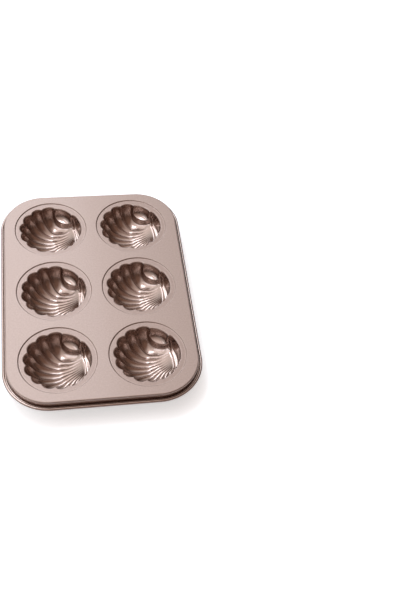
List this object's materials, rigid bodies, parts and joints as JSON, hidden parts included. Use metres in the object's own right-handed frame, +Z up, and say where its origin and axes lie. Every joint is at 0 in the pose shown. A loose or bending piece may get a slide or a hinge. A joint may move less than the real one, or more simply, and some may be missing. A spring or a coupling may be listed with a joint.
{
  "type": "madeleine pan",
  "caption": "Rectangular pressed steel baking pan with shell-shaped wells, sunk rings, a bent-down skirt and a rolled edge.",
  "frame": {"origin": "on the table below the middle of the pan, at the height of the lowest points of the wells", "axes": "+Z up out of the wells, +Y along the pan's long side to the back, +X to the right"},
  "size_m": [0.1876, 0.2652, 0.027],
  "materials": {
    "deck_coating": "satin champagne non-stick coating on steel sheet",
    "well_coating": "glossier drawn champagne non-stick coating on steel sheet"
  },
  "bodies": {
    "root": {"deck": "deck_coating", "skirt": "deck_coating", "rolled_edge": "deck_coating", "well_front_left": "well_coating", "well_front_right": "well_coating", "well_middle_left": "well_coating", "well_middle_right": "well_coating", "well_back_left": "well_coating", "well_back_right": "well_coating"}
  },
  "joints": []
}
